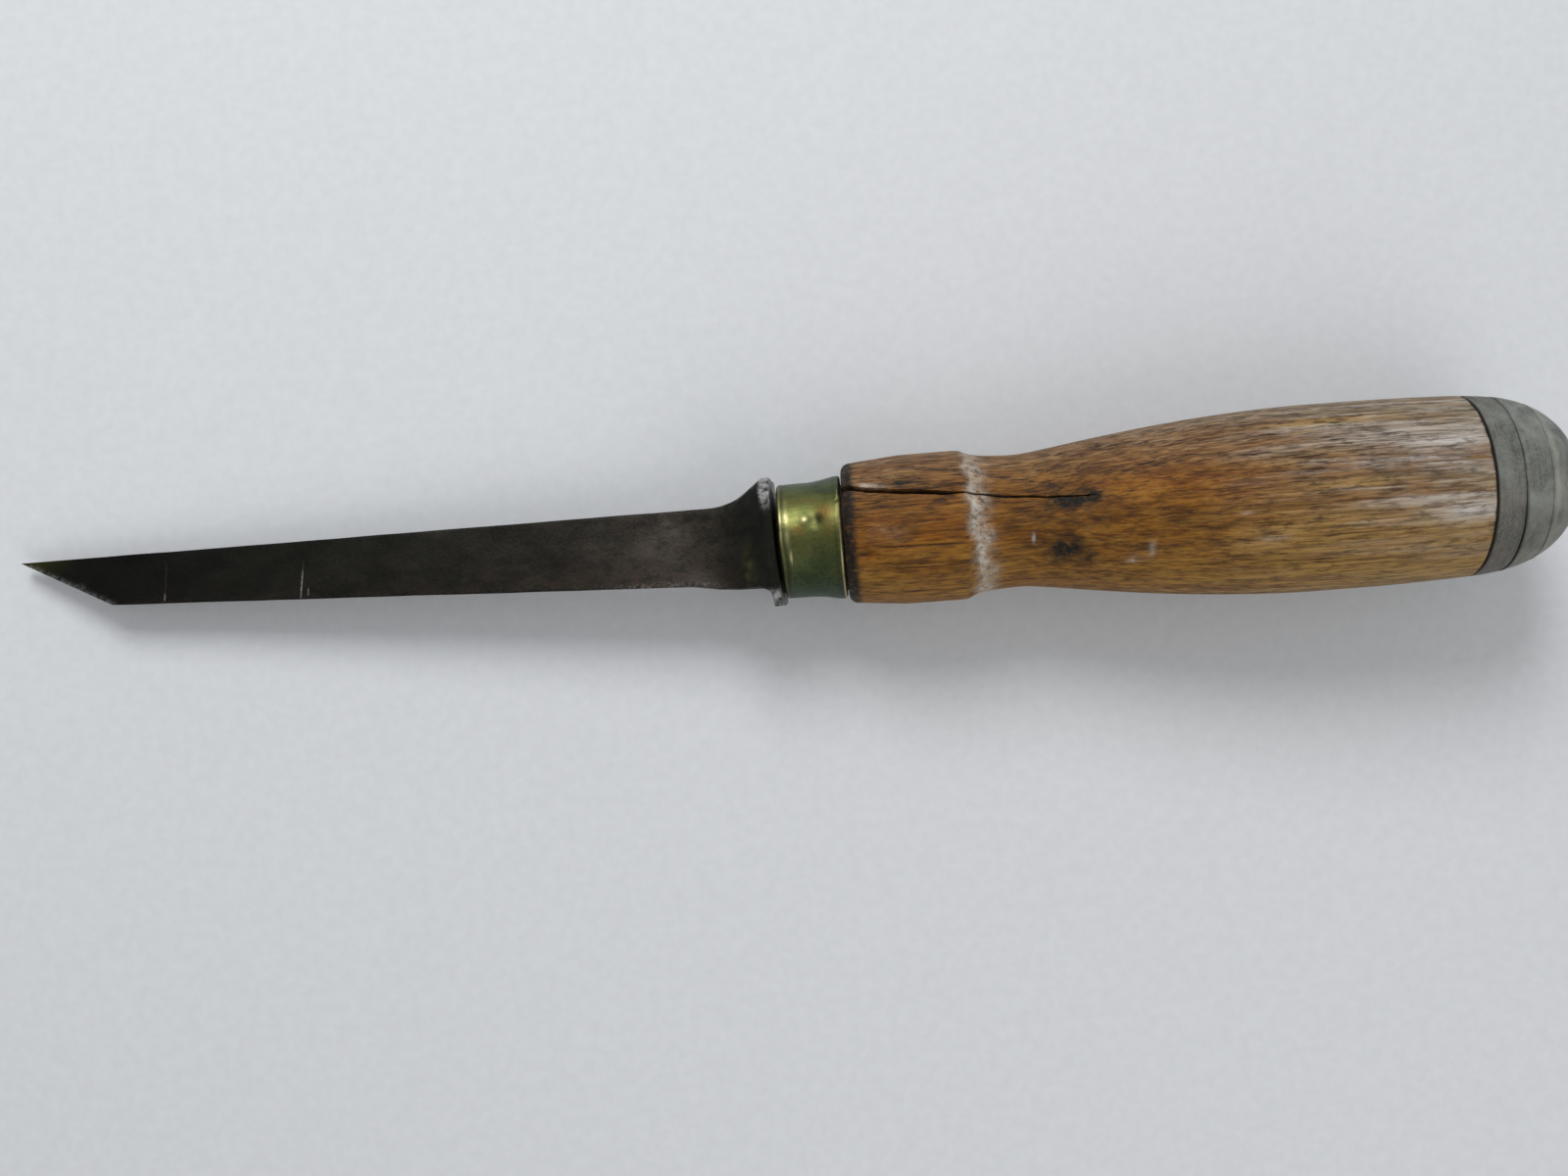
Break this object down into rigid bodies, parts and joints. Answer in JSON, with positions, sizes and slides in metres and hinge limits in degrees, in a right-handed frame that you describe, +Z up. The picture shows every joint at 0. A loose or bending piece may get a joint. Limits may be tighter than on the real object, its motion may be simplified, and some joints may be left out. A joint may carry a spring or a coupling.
{
  "type": "v parting tool",
  "caption": "Carving tool with a straight V-section blade and slanted cutting end, flared bolster, brass ferrule, turned wooden handle and a leather-washer butt.",
  "frame": {"origin": "on the bench plane, under the middle of the tool as it lies on its side", "axes": "+X along the tool toward the butt, so the point is toward -X; +Z up; the keel of the V on the +Y side and its mouth on the -Y side"},
  "size_m": [0.2832, 0.0334, 0.0361],
  "materials": {
    "blade_steel": "forged steel with a dark brown patina",
    "ferrule_brass": "tarnished olive brass",
    "handle_wood": "worn, waxed and weathered ash",
    "inner_leather": "old compressed leather",
    "middle_leather": "old compressed leather",
    "outer_leather": "old compressed leather, rounded by wear",
    "peg_wood": "end grain, grimy"
  },
  "bodies": {
    "root": {"blade": "blade_steel", "ferrule": "ferrule_brass", "handle": "handle_wood", "inner_washer": "inner_leather", "middle_washer": "middle_leather", "outer_washer": "outer_leather", "washer_peg": "peg_wood"}
  },
  "joints": []
}
